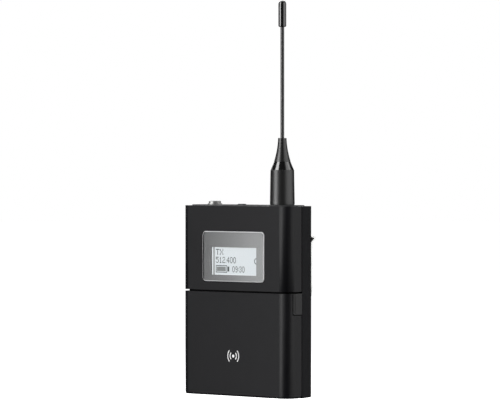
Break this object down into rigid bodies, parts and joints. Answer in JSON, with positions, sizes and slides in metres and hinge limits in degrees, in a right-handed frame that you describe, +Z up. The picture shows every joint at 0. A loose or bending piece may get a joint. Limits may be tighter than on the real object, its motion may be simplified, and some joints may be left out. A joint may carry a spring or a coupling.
{
  "type": "wireless bodypack transmitter",
  "caption": "Pocket wireless microphone transmitter: black two-part case with display window, hinged battery door with side latches, whip antenna, jack, mute slider and sprung belt clip.",
  "frame": {"origin": "on the bottom face, midway between the sides, in the plane of the antenna and jack axes where the two half shells meet", "axes": "+X to the right seen from the front, +Y towards the belt clip at the rear, +Z up along the antenna"},
  "size_m": [0.0636, 0.0275, 0.1668],
  "materials": {
    "black_plastic": "satin",
    "gloss_black": "gloss",
    "black_rubber": "matte",
    "inner_plastic": "matte",
    "key_plastic": "satin",
    "pane": "clear",
    "mask_grey": "satin",
    "display_grey": "gloss",
    "board_green": "satin",
    "chip_black": "matte",
    "plated": "polished",
    "steel": "brushed",
    "tinned": "satin",
    "gold_contact": "satin",
    "cell_wrap": "satin",
    "foam": "matte",
    "flex_amber": "satin",
    "label": "matte",
    "lens": "gloss"
  },
  "bodies": {
    "housing": {"front_shell": "black_plastic", "rear_shell": "black_plastic", "top_plate": "black_plastic", "hinge_pin": "steel", "battery_tray": "inner_plastic", "cell_upper": "cell_wrap", "cell_lower": "cell_wrap", "contact_right": "gold_contact", "contact_left": "gold_contact", "spring_upper": "tinned", "spring_lower": "tinned", "control_panel": "inner_plastic", "key_switches": "tinned", "key_board": "board_green", "main_board": "board_green", "board_parts": "chip_black", "rf_shield": "tinned", "display_panel": "display_grey", "display_frame": "inner_plastic", "display_flex": "flex_amber", "display_window": "pane", "window_mask": "mask_grey", "jack_socket": "inner_plastic", "jack_collar": "plated", "jack_tails": "tinned", "mute_switch": "inner_plastic", "antenna_seal": "black_rubber", "antenna_barrel": "black_rubber", "antenna_ring": "gloss_black", "antenna_boot": "black_rubber", "antenna_whip": "gloss_black", "antenna_tip": "gloss_black", "antenna_stud": "steel", "antenna_nut": "steel", "antenna_lead": "gold_contact", "housing_screws": "steel", "clip_bracket": "inner_plastic", "clip_pin": "steel", "rating_label": "label", "link_lens": "lens", "data_lens": "lens"},
    "door": {"battery_door": "black_plastic", "door_pads": "foam"},
    "latch_right": {"latch_right": "black_plastic"},
    "latch_left": {"latch_left": "black_plastic"},
    "power_key": {"power_button": "key_plastic"},
    "sync_key": {"sync_button": "key_plastic"},
    "down_key": {"down_button": "key_plastic"},
    "up_key": {"up_button": "key_plastic"},
    "set_key": {"set_button": "key_plastic"},
    "mute_knob": {"mute_slider": "black_plastic"},
    "clip": {"belt_clip": "steel"}
  },
  "joints": [
    {"name": "door_hinge", "type": "hinge", "parent": "housing", "child": "door", "pos_m": [0, -0.0021, 0.0019], "axis": [1, 0, 0], "range_deg": [0, 90]},
    {"name": "latch_right_press", "type": "hinge", "parent": "housing", "child": "latch_right", "pos_m": [0.03175, 0.00005, 0.0395], "axis": [0, 0, -1], "range_deg": [0, 7], "stiffness_Nm_per_rad": 0.02},
    {"name": "latch_left_press", "type": "hinge", "parent": "housing", "child": "latch_left", "pos_m": [-0.03175, 0.00005, 0.0395], "axis": [0, 0, 1], "range_deg": [0, 7], "stiffness_Nm_per_rad": 0.02},
    {"name": "power_press", "type": "slide", "parent": "housing", "child": "power_key", "axis": [0, 1, 0], "range_m": [0, 0.0004], "stiffness_N_per_m": 1000},
    {"name": "sync_press", "type": "slide", "parent": "housing", "child": "sync_key", "axis": [0, 1, 0], "range_m": [0, 0.0004], "stiffness_N_per_m": 1000},
    {"name": "down_press", "type": "slide", "parent": "housing", "child": "down_key", "axis": [0, 1, 0], "range_m": [0, 0.0004], "stiffness_N_per_m": 1000},
    {"name": "up_press", "type": "slide", "parent": "housing", "child": "up_key", "axis": [0, 1, 0], "range_m": [0, 0.0004], "stiffness_N_per_m": 1000},
    {"name": "set_press", "type": "slide", "parent": "housing", "child": "set_key", "axis": [0, 1, 0], "range_m": [0, 0.0004], "stiffness_N_per_m": 1000},
    {"name": "mute_slide", "type": "slide", "parent": "housing", "child": "mute_knob", "axis": [1, 0, 0], "range_m": [-0.001, 0.001]},
    {"name": "clip_flex", "type": "hinge", "parent": "housing", "child": "clip", "pos_m": [0, 0.0124, 0.066], "axis": [1, 0, 0], "range_deg": [0, 12], "stiffness_Nm_per_rad": 0.6}
  ]
}
